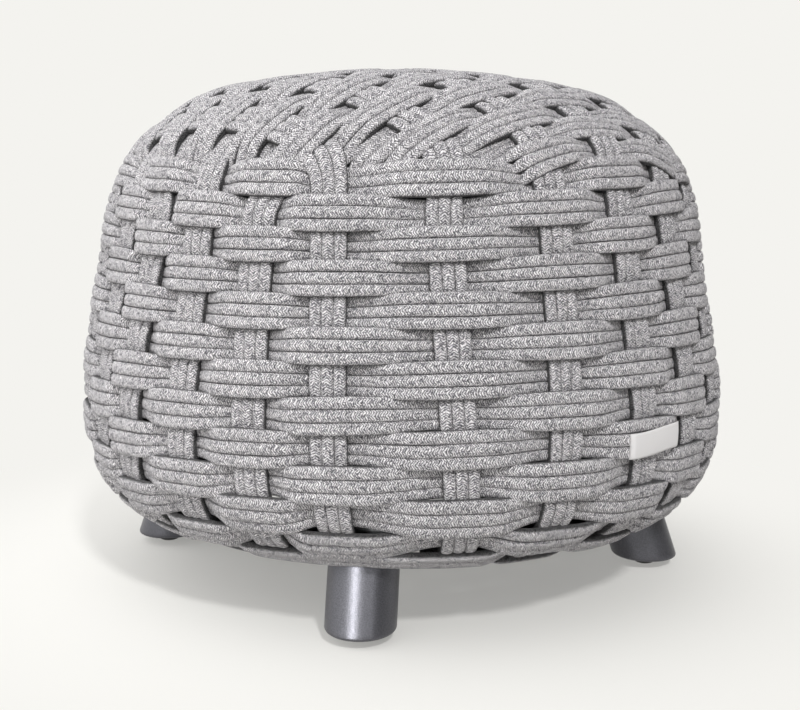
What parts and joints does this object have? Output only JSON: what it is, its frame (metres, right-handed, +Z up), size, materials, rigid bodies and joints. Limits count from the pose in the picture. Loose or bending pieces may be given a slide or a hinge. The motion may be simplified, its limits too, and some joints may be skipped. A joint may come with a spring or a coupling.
{
  "type": "outdoor ottoman",
  "caption": "Round outdoor ottoman footstool: a rope-woven drum cover over a hidden welded frame, on short splayed tube legs with screw-in glides.",
  "frame": {"origin": "on the floor under the middle of the pouf", "axes": "+Z up, -Y towards the front leg, +X towards the right leg"},
  "size_m": [0.5991, 0.5985, 0.4633],
  "materials": {
    "rope": "matt braided outdoor rope, grey with dark flecks",
    "tab": "matt woven tape, blank",
    "frame_paint": "satin grey powder coat on aluminium",
    "leg_paint": "satin metallic grey powder coat on aluminium",
    "plated_steel": "bright zinc plate",
    "glide_plastic": "moulded black plastic"
  },
  "bodies": {
    "pouf_body": {"woven_cover_side": "rope", "woven_cover_seat": "rope", "side_tab": "tab", "bottom_ring": "frame_paint", "waist_ring": "frame_paint", "top_ring": "frame_paint", "seat_hub": "frame_paint", "side_rib_1": "frame_paint", "side_rib_2": "frame_paint", "side_rib_3": "frame_paint", "side_rib_4": "frame_paint", "side_rib_5": "frame_paint", "side_rib_6": "frame_paint", "side_rib_7": "frame_paint", "side_rib_8": "frame_paint", "seat_rib_1": "frame_paint", "seat_rib_2": "frame_paint", "seat_rib_3": "frame_paint", "seat_rib_4": "frame_paint", "lower_beam_long": "frame_paint", "lower_beam_right": "frame_paint", "lower_beam_left": "frame_paint", "leg_front": "leg_paint", "leg_end_plate_front": "leg_paint", "leg_insert_front": "plated_steel", "leg_right": "leg_paint", "leg_end_plate_right": "leg_paint", "leg_insert_right": "plated_steel", "leg_back": "leg_paint", "leg_end_plate_back": "leg_paint", "leg_insert_back": "plated_steel", "leg_left": "leg_paint", "leg_end_plate_left": "leg_paint", "leg_insert_left": "plated_steel"},
    "glide_front": {"glide_stud_front": "plated_steel", "glide_pad_front": "glide_plastic"},
    "glide_right": {"glide_stud_right": "plated_steel", "glide_pad_right": "glide_plastic"},
    "glide_back": {"glide_stud_back": "plated_steel", "glide_pad_back": "glide_plastic"},
    "glide_left": {"glide_stud_left": "plated_steel", "glide_pad_left": "glide_plastic"}
  },
  "joints": [
    {"name": "glide_front_screw", "type": "slide", "parent": "pouf_body", "child": "glide_front", "axis": [0, 0, -1], "range_m": [0, 0.008]},
    {"name": "glide_right_screw", "type": "slide", "parent": "pouf_body", "child": "glide_right", "axis": [0, 0, -1], "range_m": [0, 0.008]},
    {"name": "glide_back_screw", "type": "slide", "parent": "pouf_body", "child": "glide_back", "axis": [0, 0, -1], "range_m": [0, 0.008]},
    {"name": "glide_left_screw", "type": "slide", "parent": "pouf_body", "child": "glide_left", "axis": [0, 0, -1], "range_m": [0, 0.008]}
  ]
}
